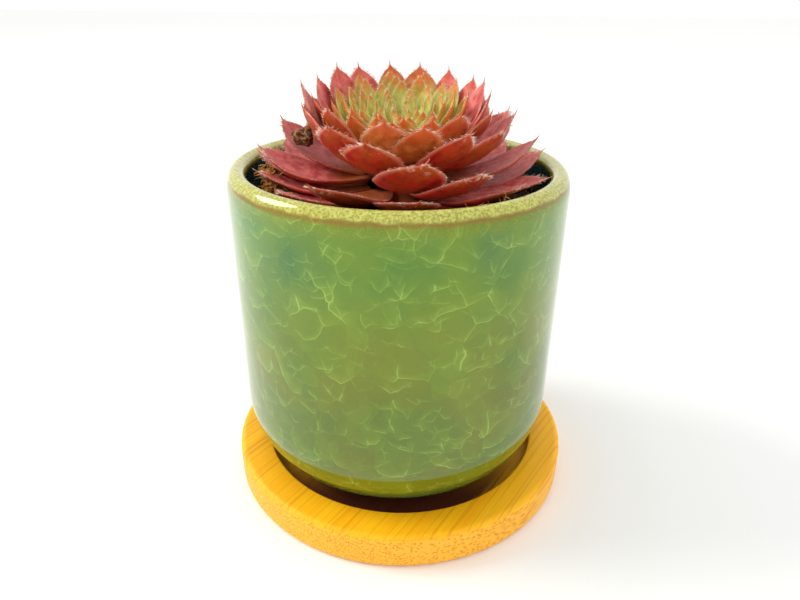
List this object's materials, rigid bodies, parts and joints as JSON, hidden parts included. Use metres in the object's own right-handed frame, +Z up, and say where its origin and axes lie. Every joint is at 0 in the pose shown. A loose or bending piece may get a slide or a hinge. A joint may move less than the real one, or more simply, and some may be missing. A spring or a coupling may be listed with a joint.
{
  "type": "potted houseleek",
  "caption": "Houseleek rosette growing in a round crackle-glazed pot that stands in a recessed bamboo saucer.",
  "frame": {"origin": "on the saucer's underside, directly below the pot's axis", "axes": "+Z up, -Y towards the side that the rosette's heart leans to, +X to the right seen from that side"},
  "size_m": [0.0836, 0.0836, 0.0974],
  "materials": {
    "bamboo": "satin",
    "glaze": "gloss",
    "soil": "matte",
    "root": "matte",
    "bark": "matte",
    "outer_leaf": "satin",
    "lower_leaf": "satin",
    "middle_leaf": "satin",
    "upper_leaf": "satin",
    "heart_leaf": "satin"
  },
  "bodies": {
    "root": {"bark_chip": "bark", "heart": "heart_leaf", "lower_leaf_01": "lower_leaf", "lower_leaf_02": "lower_leaf", "lower_leaf_03": "lower_leaf", "lower_leaf_04": "lower_leaf", "lower_leaf_05": "lower_leaf", "lower_leaf_06": "lower_leaf", "lower_leaf_07": "lower_leaf", "lower_leaf_08": "lower_leaf", "lower_leaf_09": "lower_leaf", "lower_leaf_10": "lower_leaf", "middle_leaf_01": "middle_leaf", "middle_leaf_02": "middle_leaf", "middle_leaf_03": "middle_leaf", "middle_leaf_04": "middle_leaf", "middle_leaf_05": "middle_leaf", "middle_leaf_06": "middle_leaf", "middle_leaf_07": "middle_leaf", "middle_leaf_08": "middle_leaf", "middle_leaf_09": "middle_leaf", "middle_leaf_10": "middle_leaf", "middle_leaf_11": "middle_leaf", "middle_leaf_12": "middle_leaf", "outer_leaf_01": "outer_leaf", "outer_leaf_02": "outer_leaf", "outer_leaf_03": "outer_leaf", "outer_leaf_04": "outer_leaf", "outer_leaf_05": "outer_leaf", "outer_leaf_06": "outer_leaf", "outer_leaf_07": "outer_leaf", "outer_leaf_08": "outer_leaf", "outer_leaf_09": "outer_leaf", "outer_leaf_10": "outer_leaf", "outer_leaf_11": "outer_leaf", "outer_leaf_12": "outer_leaf", "outer_leaf_13": "outer_leaf", "outer_leaf_14": "outer_leaf", "pot": "glaze", "saucer": "bamboo", "soil": "soil", "stem_and_roots": "root", "upper_leaf_01": "upper_leaf", "upper_leaf_02": "upper_leaf", "upper_leaf_03": "upper_leaf", "upper_leaf_04": "upper_leaf", "upper_leaf_05": "upper_leaf", "upper_leaf_06": "upper_leaf", "upper_leaf_07": "upper_leaf", "upper_leaf_08": "upper_leaf", "upper_leaf_09": "upper_leaf", "upper_leaf_10": "upper_leaf", "upper_leaf_11": "upper_leaf", "upper_leaf_12": "upper_leaf", "upper_leaf_13": "upper_leaf", "upper_leaf_14": "upper_leaf", "upper_leaf_15": "upper_leaf"}
  },
  "joints": []
}
